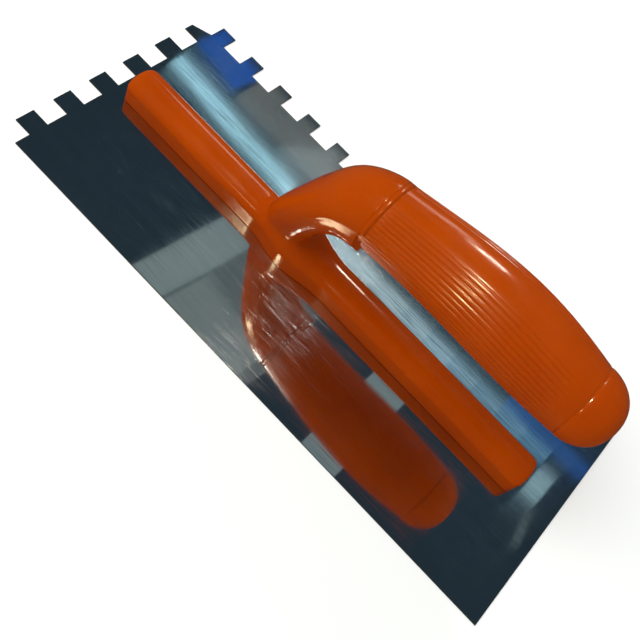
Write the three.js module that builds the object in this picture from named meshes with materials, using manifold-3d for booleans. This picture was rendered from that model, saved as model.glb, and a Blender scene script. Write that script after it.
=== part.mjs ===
// Notched trowel: a thin polished steel blade with square notches along one end and one long
// side, screwed from below to an orange moulded handle. The handle is a frame (rail, neck, arch
// and hollow core), a ribbed grip sleeve that slides over the core, and an end cap that closes it.
//
// Millimetres, +Z up. The origin is the centre of the blade's underside. +X runs along the blade
// from its notched end to its plain end, and the notched long side is at +Y.
import * as THREE from "three";
import { mergeVertices } from "three/addons/utils/BufferGeometryUtils.js";
import Module from "manifold-3d";

const wasm = await Module();
wasm.setup();

// ---------- Driving dimensions ----------

// Blade
const BLADE_LENGTH = 280;
const BLADE_WIDTH = 125;
const BLADE_THICKNESS = 0.8;
const NOTCH_PITCH = 20;
const END_NOTCH_WIDTH = 10.6;
const END_NOTCH_DEPTH = 9;
const END_FIRST_NOTCH = 7.6; // what is left of the first end notch at the plain long side
const SIDE_NOTCH_WIDTH = 11.6;
const SIDE_NOTCH_DEPTH = 8.7;
const SIDE_FIRST_NOTCH = 9.6; // what is left of the first side notch at the notched end
const CORNER_TAPER = 4; // how much the tooth between the two notched edges narrows to its tip

// Rail: the part of the handle that lies on the blade
const RAIL_START_MARGIN = 14.5; // from the blade's notched end
const RAIL_END_MARGIN = 21.5; // from the blade's plain end
const RAIL_WIDTH = 17.6;
const RAIL_HEIGHT = 12.5;
const RAIL_CROWN = 5; // height of the rounded top above the straight walls
const RAIL_CORNER = 5.5; // plan radius of the rail's four corners
const RAIL_END_ROUND = 3.5; // radius between the rail's ends and its top
const RAIL_WALL = 2.4; // wall of the channel moulded into the rail's underside
const RAIL_RIB = 1.6; // thickness of the cross ribs in that channel

// Screws: countersunk self-tapping, up through the blade into bosses in the rail
const SCREW_COUNT = 7;
const SCREW_END_MARGIN = 15; // first screw's axis from the rail's end
const SCREW_LENGTH = 9.5;
const SCREW_RADIUS = 1.95;
const SCREW_CORE_RADIUS = 1.5;
const SCREW_THREAD_PITCH = 1.8;
const SCREW_HEAD_RADIUS = 3.7;
const SCREW_HEAD_SINK = 0.1; // head below the blade's underside plane
const SCREW_CLEARANCE = 0.1; // radial, in the boss
const DIMPLE_CLEARANCE = 0.15; // between the head's cone and the dimple pressed in the blade
const SEAT_CLEARANCE = 0.3; // between the dimple and the rail
const BOSS_RADIUS = 4.2;
const RECESS_SPAN = 4.2; // cross recess, tip to tip
const RECESS_WIDTH = 0.9;
const RECESS_DEPTH = 1.1;

// Neck and arch: they rise from the rail and turn back over it, up to the shoulder at the sleeve
const NECK_X = -30;
const NECK_HALF_LENGTH = 11.5; // along the blade, just above the rail
const NECK_FLARE = 2.5; // added to that at the rail's top
const NECK_INSET = 0.2; // of the neck's foot from the rail's sides
const SHOULDER_X = -0.5;
const SHOULDER_Z = 62.6;
const SHOULDER_HALF_WIDTH = 16.3;
const SHOULDER_HALF_HEIGHT = 15;

// Grip: a straight core inside a swelling sleeve, closed by a domed cap
const GRIP_SLOPE = 0.054; // rise of the core's axis per millimetre
const GRIP_BOW = 4.2; // how far the sleeve's crown stands above a straight line
const SLEEVE_LENGTH = 100.5;
const SLEEVE_HALF_WIDTH = 20.2;
const SLEEVE_HALF_HEIGHT = 16.6;
const SLEEVE_FULLEST = 0.62; // share of the sleeve's length where it is widest
const CAP_LENGTH = 16.8;
const CAP_HALF_WIDTH = 17.9;
const CAP_HALF_HEIGHT = 14.4;
const CAP_FULLNESS = 0.85; // below 1 the dome is blunter than an ellipsoid
const JOINT_GAP = 0.8; // open joint at each end of the sleeve
const EDGE_CHAMFER = 0.7; // at the sleeve's two ends
const COLLAR_DEPTH = 1.3; // floor of each joint below the surface beside it
const COLLAR_CLEARANCE = 0.3; // between the collars in the joints and the sleeve
const SLEEVE_SIDE_WALL = 3.2; // beside the core, at the shoulder
const SLEEVE_FLOOR_WALL = 2.9; // under the core, at the middle of the grip
const CORE_WALL = 2.4;
const CORE_DEPTH = 12; // how far the core's hollow runs on into the arch
const CORE_CLEARANCE = 0.3; // between the core and the sleeve
const SPIGOT_LENGTH = 12;
const SPIGOT_WALL = 1.8;
const SPIGOT_CLEARANCE = 0.3;
const RIB_PITCH = 2.3; // round the sleeve
const RIB_DEPTH = 0.55;
const RIB_TOP_ANGLE = 25; // degrees from the crown of the grip to the first rib, each side

// ---------- Derived places ----------

const BLADE_TOP = BLADE_THICKNESS;
const RAIL_TOP = BLADE_TOP + RAIL_HEIGHT;
const RAIL_START = RAIL_START_MARGIN - BLADE_LENGTH / 2;
const RAIL_END = BLADE_LENGTH / 2 - RAIL_END_MARGIN;
const SLEEVE_START = SHOULDER_X + JOINT_GAP;
const SLEEVE_END = SLEEVE_START + SLEEVE_LENGTH;
const CAP_START = SLEEVE_END + JOINT_GAP;
const CORE_HALF_WIDTH = SHOULDER_HALF_WIDTH - SLEEVE_SIDE_WALL - CORE_CLEARANCE;
const CORE_HALF_HEIGHT = SLEEVE_HALF_HEIGHT - GRIP_BOW - SLEEVE_FLOOR_WALL - CORE_CLEARANCE;

// Height of the grip's straight axis at a place along the blade.
const axisHeight = (x) => SHOULDER_Z + GRIP_SLOPE * (x - SHOULDER_X);
const gripAxis = new THREE.Vector3(1, 0, GRIP_SLOPE);

const screwPlaces = Array.from({ length: SCREW_COUNT }, (_, i) => {
  const first = RAIL_START + SCREW_END_MARGIN;
  const last = RAIL_END - SCREW_END_MARGIN;
  return first + ((last - first) * i) / (SCREW_COUNT - 1);
});

// ---------- Materials ----------

const steel = new THREE.MeshStandardMaterial({ color: 0x8d979c, roughness: 0.18, metalness: 1 });
const zinc = new THREE.MeshStandardMaterial({ color: 0xb9bcc0, roughness: 0.35, metalness: 1 });
const plastic = new THREE.MeshStandardMaterial({ color: 0xc84a05, roughness: 0.22, metalness: 0 });
const ribbed = new THREE.MeshStandardMaterial({ color: 0xc84a05, roughness: 0.3, metalness: 0 });

// ---------- Solids ----------

// A closed geometry as a manifold solid, for joining and cutting.
function solid(geometry) {
  const bare = geometry.clone();
  bare.deleteAttribute("normal");
  bare.deleteAttribute("uv");
  const merged = mergeVertices(bare, 1e-4);
  return new wasm.Manifold(
    new wasm.Mesh({
      numProp: 3,
      vertProperties: merged.attributes.position.array,
      triVerts: new Uint32Array(merged.index.array),
    }),
  );
}

// A manifold solid back as a geometry.
function geometryOf(made) {
  const mesh = made.getMesh();
  const geometry = new THREE.BufferGeometry();
  geometry.setAttribute("position", new THREE.BufferAttribute(mesh.vertProperties, 3));
  geometry.setIndex(new THREE.BufferAttribute(mesh.triVerts, 1));
  geometry.computeVertexNormals();
  return geometry;
}

function box(x0, x1, y0, y1, z0, z1) {
  const geometry = new THREE.BoxGeometry(x1 - x0, y1 - y0, z1 - z0);
  return solid(geometry.translate((x0 + x1) / 2, (y0 + y1) / 2, (z0 + z1) / 2));
}

// A flat shape drawn in X and Y, extruded up from z0 by height.
function upright(shape, z0, height) {
  const settings = { depth: height, bevelEnabled: false, curveSegments: 6 };
  return solid(new THREE.ExtrudeGeometry(shape, settings).translate(0, 0, z0));
}

// A profile of [radius, z] points turned about a vertical axis at x.
function turned(profile, x, segments = 18) {
  const points = profile.map(([radius, z]) => new THREE.Vector2(radius, z));
  const geometry = new THREE.LatheGeometry(points, segments);
  return solid(geometry.rotateX(Math.PI / 2).translate(x, 0, 0));
}

// A closed skin over rings of points, each ring with the same number of points.
function loft(rings) {
  const count = rings[0].length;
  const positions = rings.flat().flatMap((p) => [p.x, p.y, p.z]);
  const index = [];
  for (let r = 0; r + 1 < rings.length; r++) {
    for (let i = 0; i < count; i++) {
      const a = r * count + i;
      const b = r * count + ((i + 1) % count);
      index.push(a, b, b + count, a, b + count, a + count);
    }
  }
  for (const [ring, ahead] of [[0, false], [rings.length - 1, true]]) {
    const centre = new THREE.Vector3();
    rings[ring].forEach((p) => centre.addScaledVector(p, 1 / count));
    const tip = positions.length / 3;
    positions.push(centre.x, centre.y, centre.z);
    for (let i = 0; i < count; i++) {
      const a = ring * count + i;
      const b = ring * count + ((i + 1) % count);
      index.push(...(ahead ? [a, b, tip] : [b, a, tip]));
    }
  }
  const geometry = new THREE.BufferGeometry();
  geometry.setAttribute("position", new THREE.Float32BufferAttribute(positions, 3));
  geometry.setIndex(index);
  return geometry;
}

// A ring round a point of the handle's middle plane. The spine runs along tangent there.
// depth(angle) pulls the ring in, where angle is 0 at the crown and grows towards +Y.
function ring(centre, tangent, halfWidth, halfHeight, segments, depth = () => 0) {
  const normal = new THREE.Vector3(-tangent.z, 0, tangent.x).normalize();
  return Array.from({ length: segments }, (_, i) => {
    const angle = (i / segments) * 2 * Math.PI;
    const across = (halfWidth - depth(angle)) * Math.sin(angle);
    const up = (halfHeight - depth(angle)) * Math.cos(angle);
    const point = centre.clone().addScaledVector(normal, up);
    point.y -= across;
    return point;
  });
}

// ---------- Blade ----------

// Where the notches lie along an edge: the first is cut short by the corner it starts in.
function notchSpans(first, width, length) {
  const spans = [[0, first]];
  for (let end = first + NOTCH_PITCH; end < length; end += NOTCH_PITCH) {
    spans.push([end - width, end]);
  }
  return spans;
}

// The sheet pressed up round a screw hole, so that the head sits flush below.
function dimple(x) {
  const rise = SCREW_HEAD_RADIUS - SCREW_RADIUS;
  const wall = BLADE_THICKNESS * Math.SQRT2;
  const inner = SCREW_HEAD_RADIUS + DIMPLE_CLEARANCE;
  return turned(
    [
      [inner, 0],
      [inner + wall, 0],
      [inner + wall - rise, rise],
      [inner - rise, rise],
      [inner, 0],
    ],
    x,
  );
}

function dimpleHole(x) {
  const reach = SCREW_HEAD_RADIUS + DIMPLE_CLEARANCE;
  return turned([[0, -1], [reach + 1, -1], [0, reach], [0, -1]], x);
}

// The wedge that narrows the corner tooth towards its tip, on the side of the first side notch.
function cornerTaper() {
  const bottom = BLADE_WIDTH / 2 - SIDE_NOTCH_DEPTH;
  const tip = -BLADE_LENGTH / 2;
  const wedge = new THREE.Shape();
  wedge.moveTo(tip + SIDE_FIRST_NOTCH, bottom);
  wedge.lineTo(tip, bottom + 1);
  wedge.lineTo(tip - 1, bottom + 1);
  wedge.lineTo(tip - 1, bottom - CORNER_TAPER);
  wedge.lineTo(tip, bottom - CORNER_TAPER);
  return upright(wedge, -1, BLADE_THICKNESS + 2);
}

function makeBlade() {
  const halfLength = BLADE_LENGTH / 2;
  const halfWidth = BLADE_WIDTH / 2;
  const over = 1;
  let blade = box(-halfLength, halfLength, -halfWidth, halfWidth, 0, BLADE_TOP);
  for (const [from, to] of notchSpans(END_FIRST_NOTCH, END_NOTCH_WIDTH, BLADE_WIDTH)) {
    const start = from === 0 ? -halfWidth - over : from - halfWidth;
    const cut = box(
      -halfLength - over, -halfLength + END_NOTCH_DEPTH, start, to - halfWidth, -over, BLADE_TOP + over,
    );
    blade = blade.subtract(cut);
  }
  for (const [from, to] of notchSpans(SIDE_FIRST_NOTCH, SIDE_NOTCH_WIDTH, BLADE_LENGTH)) {
    const start = from === 0 ? -halfLength - over : from - halfLength;
    const cut = box(
      start, to - halfLength, halfWidth - SIDE_NOTCH_DEPTH, halfWidth + over, -over, BLADE_TOP + over,
    );
    blade = blade.subtract(cut);
  }
  blade = blade.subtract(cornerTaper());
  for (const x of screwPlaces) {
    blade = blade.add(dimple(x)).subtract(dimpleHole(x));
  }
  return geometryOf(blade);
}

// ---------- Handle frame ----------

function roundedRectangle(x0, x1, y0, y1, radius) {
  const shape = new THREE.Shape();
  shape.moveTo(x0 + radius, y0);
  shape.lineTo(x1 - radius, y0);
  shape.absarc(x1 - radius, y0 + radius, radius, -Math.PI / 2, 0);
  shape.lineTo(x1, y1 - radius);
  shape.absarc(x1 - radius, y1 - radius, radius, 0, Math.PI / 2);
  shape.lineTo(x0 + radius, y1);
  shape.absarc(x0 + radius, y1 - radius, radius, Math.PI / 2, Math.PI);
  shape.lineTo(x0, y0 + radius);
  shape.absarc(x0 + radius, y0 + radius, radius, Math.PI, 1.5 * Math.PI);
  return shape;
}

// The rail's outside: a crowned section, a plan with round corners and a rounded end profile, crossed.
function railBody() {
  const half = RAIL_WIDTH / 2;
  const wallTop = RAIL_HEIGHT - RAIL_CROWN;
  const outline = roundedRectangle(RAIL_START, RAIL_END, -half, half, RAIL_CORNER);
  const plan = upright(outline, BLADE_TOP, RAIL_HEIGHT + 1);

  const section = new THREE.Shape();
  section.moveTo(-half, 0);
  section.lineTo(half, 0);
  section.lineTo(half, wallTop);
  section.absellipse(0, wallTop, half, RAIL_CROWN, 0, Math.PI);
  const crowned = new THREE.ExtrudeGeometry(section, {
    depth: RAIL_END - RAIL_START + 2, bevelEnabled: false, curveSegments: 12,
  });
  crowned.rotateX(Math.PI / 2).rotateZ(Math.PI / 2).translate(RAIL_START - 1, 0, BLADE_TOP);

  const roundAt = RAIL_HEIGHT - RAIL_END_ROUND;
  const side = new THREE.Shape();
  side.moveTo(RAIL_START, -1);
  side.lineTo(RAIL_END, -1);
  side.lineTo(RAIL_END, roundAt);
  side.absarc(RAIL_END - RAIL_END_ROUND, roundAt, RAIL_END_ROUND, 0, Math.PI / 2);
  side.lineTo(RAIL_START + RAIL_END_ROUND, RAIL_HEIGHT);
  side.absarc(RAIL_START + RAIL_END_ROUND, roundAt, RAIL_END_ROUND, Math.PI / 2, Math.PI);
  const profile = new THREE.ExtrudeGeometry(side, {
    depth: RAIL_WIDTH + 2, bevelEnabled: false, curveSegments: 4,
  });
  profile.rotateX(Math.PI / 2).translate(0, half + 1, BLADE_TOP);
  return plan.intersect(solid(crowned)).intersect(solid(profile));
}

// The channel moulded up into the rail from below, less its cross ribs, bosses and the neck's root.
function railChannel() {
  const half = RAIL_WIDTH / 2 - RAIL_WALL;
  const top = RAIL_TOP - RAIL_WALL - RAIL_CROWN / 3;
  let channel = box(RAIL_START + RAIL_WALL, RAIL_END - RAIL_WALL, -half, half, BLADE_TOP - 1, top);
  screwPlaces.forEach((x, i) => {
    const boss = [[0, BLADE_TOP - 1], [BOSS_RADIUS, BLADE_TOP - 1], [BOSS_RADIUS, RAIL_TOP], [0, RAIL_TOP]];
    channel = channel.subtract(turned(boss, x));
    const next = screwPlaces[i + 1];
    if (next === undefined) return;
    const middle = (x + next) / 2;
    channel = channel.subtract(
      box(middle - RAIL_RIB / 2, middle + RAIL_RIB / 2, -half - 1, half + 1, BLADE_TOP, RAIL_TOP),
    );
  });
  const root = NECK_HALF_LENGTH + RAIL_WALL;
  return channel.subtract(
    box(NECK_X - root, NECK_X + root, -RAIL_WIDTH, RAIL_WIDTH, BLADE_TOP - 1, RAIL_TOP),
  );
}

// The bore for a screw and, below it, the seat for the dimple.
function screwBore(x) {
  const bore = SCREW_RADIUS + SCREW_CLEARANCE;
  const rise = SCREW_HEAD_RADIUS - SCREW_RADIUS;
  const seat = SCREW_HEAD_RADIUS + DIMPLE_CLEARANCE + BLADE_THICKNESS * Math.SQRT2 + SEAT_CLEARANCE;
  const seatTop = rise + SEAT_CLEARANCE;
  const boreTop = SCREW_HEAD_SINK + SCREW_LENGTH + SEAT_CLEARANCE;
  const outline = [[0, 0], [seat, 0], [seat - seatTop, seatTop]];
  outline.push([bore, seatTop], [bore, boreTop], [0, boreTop]);
  return turned([...outline, [0, 0]], x);
}

// Stations of the neck and arch: place, half width and half height of the oval there.
const neckStations = [
  { x: NECK_X, z: 4, wide: RAIL_WIDTH / 2 - NECK_INSET, high: NECK_HALF_LENGTH + NECK_FLARE },
  { x: NECK_X, z: 11, wide: RAIL_WIDTH / 2 - NECK_INSET, high: NECK_HALF_LENGTH + NECK_FLARE * 0.7 },
  { x: NECK_X + 0.5, z: 18, wide: 9.6, high: NECK_HALF_LENGTH },
  { x: NECK_X + 4.2, z: 32, wide: 12.6, high: 10.2 },
  { x: NECK_X + 10.4, z: 46.5, wide: 15.4, high: 10.5 },
  { x: NECK_X + 18.5, z: 57.3, wide: 16.2, high: 12.8 },
  { x: SHOULDER_X, z: SHOULDER_Z, wide: SHOULDER_HALF_WIDTH, high: SHOULDER_HALF_HEIGHT },
];

// Rings along a smooth curve through stations, with the last ring square to the grip's axis.
function neckRings(segments, steps) {
  const spine = new THREE.CatmullRomCurve3(
    neckStations.map((s) => new THREE.Vector3(s.x, 0, s.z)), false, "centripetal",
  );
  const sizes = new THREE.CatmullRomCurve3(
    neckStations.map((s) => new THREE.Vector3(s.wide, 0, s.high)), false, "centripetal",
  );
  return Array.from({ length: steps + 1 }, (_, i) => {
    const t = i / steps;
    const size = sizes.getPoint(t);
    const tangent = i === steps ? gripAxis : spine.getTangent(t);
    return ring(spine.getPoint(t), tangent, size.x, size.z, segments);
  });
}

// A straight oval bar about the grip's axis, square to it. A collar is a short one that closes a
// joint to COLLAR_DEPTH and stops just short of the sleeve.
function coreBar(x0, x1, halfWidth, halfHeight) {
  const rings = [x0, x1].map((x) =>
    ring(new THREE.Vector3(x, 0, axisHeight(x)), gripAxis, halfWidth, halfHeight, 40),
  );
  return solid(loft(rings));
}

function makeFrame() {
  const neck = solid(loft(neckRings(40, 16)));
  const coreEnd = CAP_START - JOINT_GAP;
  const core = coreBar(SHOULDER_X - 1, coreEnd, CORE_HALF_WIDTH, CORE_HALF_HEIGHT);
  const collar = coreBar(
    SHOULDER_X - 1, SLEEVE_START - COLLAR_CLEARANCE,
    SHOULDER_HALF_WIDTH - COLLAR_DEPTH, SHOULDER_HALF_HEIGHT - COLLAR_DEPTH,
  );
  const hollow = coreBar(
    SHOULDER_X - CORE_DEPTH, coreEnd + 1, CORE_HALF_WIDTH - CORE_WALL, CORE_HALF_HEIGHT - CORE_WALL,
  );
  const below = box(-BLADE_LENGTH, BLADE_LENGTH, -BLADE_WIDTH, BLADE_WIDTH, -RAIL_HEIGHT, BLADE_TOP);
  let frame = railBody().subtract(railChannel()).add(neck).add(collar).add(core);
  frame = frame.subtract(hollow).subtract(below);
  for (const x of screwPlaces) frame = frame.subtract(screwBore(x));
  return geometryOf(frame);
}

// ---------- Sleeve and cap ----------

// A half size of the sleeve at a share of its length, swelling from its two ends to its fullest.
function barrel(share, start, fullest, end) {
  const swell = Math.sin(Math.PI * share ** (Math.log(0.5) / Math.log(SLEEVE_FULLEST)));
  const middle = THREE.MathUtils.lerp(start, end, SLEEVE_FULLEST);
  return THREE.MathUtils.lerp(start, end, share) + (fullest - middle) * swell;
}

// Rib pitches in the sleeve's whole girth: two points of each ring go to one pitch.
const ribPitches = 2 * Math.round((Math.PI * (SLEEVE_HALF_WIDTH + SLEEVE_HALF_HEIGHT)) / RIB_PITCH / 2);

// How far a point of the sleeve at an angle from the crown is sunk between two ribs.
function grooveDepth(angle) {
  const fromCrown = THREE.MathUtils.radToDeg(Math.min(angle, 2 * Math.PI - angle));
  if (fromCrown < RIB_TOP_ANGLE) return 0;
  const step = Math.round((angle / Math.PI) * ribPitches);
  return step % 2 ? RIB_DEPTH : 0;
}

function makeSleeve() {
  const steps = 12;
  const rings = Array.from({ length: steps + 1 }, (_, i) => {
    const share = i / steps;
    const x = SLEEVE_START + SLEEVE_LENGTH * share;
    const chamfer = i === 0 || i === steps ? EDGE_CHAMFER : 0;
    const wide = barrel(share, SHOULDER_HALF_WIDTH, SLEEVE_HALF_WIDTH, CAP_HALF_WIDTH);
    const high = barrel(share, SHOULDER_HALF_HEIGHT, SLEEVE_HALF_HEIGHT, CAP_HALF_HEIGHT);
    const bow = GRIP_BOW * Math.sin(Math.PI * share);
    const centre = new THREE.Vector3(x, 0, axisHeight(x) + bow);
    return ring(centre, gripAxis, wide - chamfer, high - chamfer, 2 * ribPitches, grooveDepth);
  });
  const tunnel = coreBar(
    SLEEVE_START - 1, SLEEVE_END + 1, CORE_HALF_WIDTH + CORE_CLEARANCE, CORE_HALF_HEIGHT + CORE_CLEARANCE,
  );
  return geometryOf(solid(loft(rings)).subtract(tunnel));
}

function makeCap() {
  const steps = 8;
  const rings = Array.from({ length: steps }, (_, i) => {
    const turn = ((i / steps) * Math.PI) / 2;
    const x = CAP_START + CAP_LENGTH * Math.sin(turn);
    const size = Math.cos(turn) ** CAP_FULLNESS;
    const centre = new THREE.Vector3(x, 0, axisHeight(x));
    return ring(centre, gripAxis, CAP_HALF_WIDTH * size, CAP_HALF_HEIGHT * size, 40);
  });
  const wide = CORE_HALF_WIDTH - CORE_WALL - SPIGOT_CLEARANCE;
  const high = CORE_HALF_HEIGHT - CORE_WALL - SPIGOT_CLEARANCE;
  const spigot = coreBar(CAP_START - SPIGOT_LENGTH, CAP_START + 1, wide, high);
  const collar = coreBar(
    SLEEVE_END + COLLAR_CLEARANCE, CAP_START + 1,
    CAP_HALF_WIDTH - COLLAR_DEPTH, CAP_HALF_HEIGHT - COLLAR_DEPTH,
  );
  const inside = coreBar(
    CAP_START - SPIGOT_LENGTH - 1, CAP_START + CAP_LENGTH / 2, wide - SPIGOT_WALL, high - SPIGOT_WALL,
  );
  return geometryOf(solid(loft(rings)).add(collar).add(spigot).subtract(inside));
}

// ---------- Screws ----------

function makeScrew() {
  const rise = SCREW_HEAD_RADIUS - SCREW_RADIUS;
  const bottom = SCREW_HEAD_SINK;
  const profile = [[0, bottom], [SCREW_HEAD_RADIUS, bottom], [SCREW_RADIUS, bottom + rise]];
  const threadTop = bottom + SCREW_LENGTH - SCREW_THREAD_PITCH;
  for (let z = bottom + rise; z + SCREW_THREAD_PITCH <= threadTop; z += SCREW_THREAD_PITCH) {
    profile.push([SCREW_CORE_RADIUS, z + SCREW_THREAD_PITCH * 0.3]);
    profile.push([SCREW_CORE_RADIUS, z + SCREW_THREAD_PITCH * 0.7]);
    profile.push([SCREW_RADIUS, z + SCREW_THREAD_PITCH]);
  }
  profile.push([SCREW_CORE_RADIUS, threadTop + SCREW_THREAD_PITCH / 2], [0, bottom + SCREW_LENGTH]);
  let screw = turned([...profile, [0, bottom]], 0, 14);
  const half = RECESS_SPAN / 2;
  const arm = RECESS_WIDTH / 2;
  screw = screw.subtract(box(-half, half, -arm, arm, -1, bottom + RECESS_DEPTH));
  screw = screw.subtract(box(-arm, arm, -half, half, -1, bottom + RECESS_DEPTH));
  return geometryOf(screw);
}

// ---------- Assembly ----------

function named(name, geometry, material, x = 0) {
  const mesh = new THREE.Mesh(geometry, material);
  mesh.name = name;
  mesh.position.x = x;
  return mesh;
}

const trowel = new THREE.Group();
trowel.add(named("blade", makeBlade(), steel));
trowel.add(named("handle_frame", makeFrame(), plastic));
trowel.add(named("grip_sleeve", makeSleeve(), ribbed));
trowel.add(named("end_cap", makeCap(), plastic));
screwPlaces.forEach((x, i) => trowel.add(named(`screw_${i + 1}`, makeScrew(), zinc, x)));

export default trowel;
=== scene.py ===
"""Looks of the notched trowel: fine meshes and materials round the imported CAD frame.

The handle frame is a smooth blend of a rail and a curved neck, the grip sleeve has real ribs, the
blade is a bevelled sheet with pressed dimples, and the screws have real threads and recesses.
Shapes are worked out in millimetres and written in metres, in the row's frame: +X runs along the
blade to its plain end, +Y to its notched long side, +Z up.
"""

import math

import bmesh
import bpy
import numpy as np
from mathutils import Matrix, Vector


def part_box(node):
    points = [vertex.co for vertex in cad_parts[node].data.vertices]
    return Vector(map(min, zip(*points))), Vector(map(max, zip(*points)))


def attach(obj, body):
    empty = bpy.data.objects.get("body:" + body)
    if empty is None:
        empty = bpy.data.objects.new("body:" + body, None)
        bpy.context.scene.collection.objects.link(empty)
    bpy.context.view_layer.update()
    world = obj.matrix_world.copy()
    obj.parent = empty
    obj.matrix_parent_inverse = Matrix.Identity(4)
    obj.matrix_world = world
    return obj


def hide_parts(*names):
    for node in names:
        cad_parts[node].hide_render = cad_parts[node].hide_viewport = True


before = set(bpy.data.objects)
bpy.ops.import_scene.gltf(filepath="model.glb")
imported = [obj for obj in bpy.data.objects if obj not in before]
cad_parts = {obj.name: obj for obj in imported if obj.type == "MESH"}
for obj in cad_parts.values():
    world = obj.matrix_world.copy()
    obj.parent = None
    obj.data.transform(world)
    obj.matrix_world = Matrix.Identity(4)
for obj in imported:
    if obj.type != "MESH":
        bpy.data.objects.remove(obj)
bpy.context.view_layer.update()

MM = 0.001

# ---------- Driving dimensions, in millimetres ----------

NOTCH_PITCH = 20
END_NOTCH_WIDTH = 10.6
END_NOTCH_DEPTH = 9
END_FIRST_NOTCH = 7.6
SIDE_NOTCH_WIDTH = 11.6
SIDE_NOTCH_DEPTH = 8.7
SIDE_FIRST_NOTCH = 9.6
CORNER_TAPER = 4
BLADE_EDGE = 0.12  # bevel of the blade's edges

RAIL_CROWN = 5
RAIL_HEIGHT = 12.5
RAIL_WIDTH = 17.6
RAIL_END_BLEND = 4  # how softly the rail's ends turn into its top and sides
FOOT_ROUND = 0.35  # radius along the rail's foot, at the blade
OUTER_FILLET = 4  # how softly the neck grows out of the rail towards the notched end
INNER_FILLET = 13  # and towards the plain end, inside the finger loop

NECK_X = -30
NECK_STATIONS = (
    # x, z, half width, half height of the oval there
    (NECK_X, 4, 8.6, 13.0),
    (NECK_X, 11, 8.6, 12.4),
    (NECK_X + 0.5, 18, 9.5, 11.5),
    (NECK_X + 4.2, 32, 12.6, 10.2),
    (NECK_X + 10.4, 46.5, 15.4, 10.5),
    (NECK_X + 18.5, 57.3, 16.2, 12.8),
)
SHOULDER = (-0.5, 62.6, 16.3, 15.0)  # x, z, half width, half height where the sleeve starts
NECK_SAMPLES = 260  # points along the smooth line through these stations
INSIDE_SQUARENESS = 1.3  # how much squarer than an oval the neck's section is inside the loop
OVAL_SAMPLES = 45  # points at the line's shoulder end where it is a plain oval
SQUARE_FADE = 14  # points over which it turns from one into the other
GRIP_SLOPE = 0.054
GRIP_BOW = 4.2
SLEEVE_LENGTH = 100.5
SLEEVE_FULLEST = 0.62
SLEEVE_HALF = (20.2, 16.6)
CAP_LENGTH = 16.8
CAP_HALF = (17.9, 14.4)
CAP_FULLNESS = 0.85
JOINT_GAP = 0.8
JOINT_DEPTH = 0.5  # of the groove between frame, sleeve and cap, on the underside of the grip
JOINT_TOP_SHARE = 0.36  # of that depth on top of the grip
JOINT_OVERLAP = 2  # how far a collar runs on under the next piece
EDGE_ROUND = 0.16  # of the edges that face those grooves
RIB_PITCH = 2.3
RIB_DEPTH = 0.4
RIB_TOP_ANGLE = 25  # degrees from the crown to the first rib

SCREW_HEAD_RADIUS = 3.7
SCREW_RADIUS = 1.95
SCREW_CORE_RADIUS = 1.45
SCREW_LENGTH = 9.5
SCREW_TIP = 2.2  # length of the taper to the point
SCREW_SINK = 0.1  # of the head below the blade's underside
SCREW_TURN = 37  # degrees that each screw is turned on from the one before
RECESS_DEPTH = 0.65  # ends below the frame's underside, so that only the screw shows in it
RECESS_TURN = 0.03  # radians, so that its corners miss the lines of the head's own mesh
THREAD_PITCH = 1.4
THREAD_STEPS = 10  # rings in each turn of the thread
DIMPLE_CLEARANCE = 0.15

VOXEL = 0.8  # of the frame's mesh
SLEEVE_RINGS = 90
SLEEVE_SEGMENTS = 480
CAP_RINGS = 40
CAP_SEGMENTS = 160
DIMPLE_SEGMENTS = 64
SCREW_SEGMENTS = 48


def mm_box(node):
    """Lowest and highest corner of a CAD node, in millimetres."""
    low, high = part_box(node)
    return np.array(low) / MM, np.array(high) / MM


BLADE_LOW, BLADE_HIGH = mm_box("blade")
FRAME_LOW, FRAME_HIGH = mm_box("handle_frame")
BLADE_TOP = FRAME_LOW[2]
RAIL_TOP = BLADE_TOP + RAIL_HEIGHT
RAIL_START = FRAME_LOW[0]
RAIL_END = FRAME_HIGH[0]
SCREWS = [f"screw_{i}" for i in range(1, 8)]
SLEEVE_START = SHOULDER[0] + JOINT_GAP
CAP_START = SLEEVE_START + SLEEVE_LENGTH + JOINT_GAP


# ---------- Mesh helpers ----------

def new_object(name, vertices, faces, material, smooth=True):
    """A mesh object from points in millimetres."""
    mesh = bpy.data.meshes.new(name)
    mesh.from_pydata((np.asarray(vertices) * MM).tolist(), [], [list(map(int, f)) for f in faces])
    mesh.validate()
    mesh.materials.append(material)
    for polygon in mesh.polygons:
        polygon.use_smooth = smooth
    obj = bpy.data.objects.new(name, mesh)
    bpy.context.collection.objects.link(obj)
    return obj


def ring_faces(rings, count, first=0):
    """Quads between neighbouring rings of count points each."""
    quads = []
    for r in range(rings - 1):
        for i in range(count):
            a = first + r * count + i
            b = first + r * count + (i + 1) % count
            quads.append((a, b, b + count, a + count))
    return quads


def round_angles(count):
    """This many angles, evenly round a circle."""
    return np.linspace(0, 2 * math.pi, count, endpoint=False)


def closed_loft(rings):
    """Points and faces of a skin over rings of points, closed by a fan at each end."""
    rings = np.asarray(rings, dtype=float)
    steps, count, _ = rings.shape
    points = rings.reshape(-1, 3)
    faces = ring_faces(steps, count)
    points = np.vstack([points, rings[0].mean(axis=0), rings[-1].mean(axis=0)])
    start, end = steps * count, steps * count + 1
    last = (steps - 1) * count
    for i in range(count):
        j = (i + 1) % count
        faces.append((j, i, start))
        faces.append((last + i, last + j, end))
    return points, faces


def shade_by_angle(obj, degrees):
    """Smooth shading that stops at edges sharper than this."""
    limit = math.radians(degrees)
    bm = bmesh.new()
    bm.from_mesh(obj.data)
    for edge in bm.edges:
        edge.smooth = len(edge.link_faces) == 2 and edge.calc_face_angle(0) < limit
    bm.to_mesh(obj.data)
    bm.free()


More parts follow.
